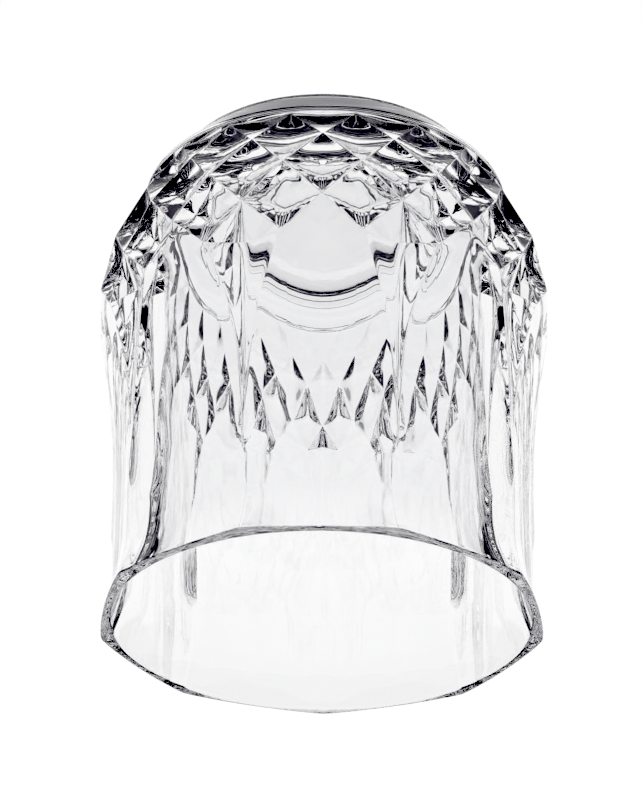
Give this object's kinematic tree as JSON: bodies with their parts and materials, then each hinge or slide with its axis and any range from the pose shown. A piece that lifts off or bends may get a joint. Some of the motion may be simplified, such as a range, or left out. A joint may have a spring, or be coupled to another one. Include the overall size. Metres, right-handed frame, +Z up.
{
  "type": "stemless glass",
  "caption": "Stemless drinking glass with a faceted, flared wall, a cut-look diamond band near its base and a round foot; holds a drink.",
  "frame": {"origin": "centre of the face that the glass rests on", "axes": "+Z up, out of the mouth; the middle of one side of the wall faces -Y"},
  "size_m": [0.0896, 0.0906, 0.1023],
  "materials": {
    "clear_glass": "clear, fire-polished pressed crystal glass"
  },
  "bodies": {
    "root": {"glass_body": "clear_glass"}
  },
  "joints": []
}
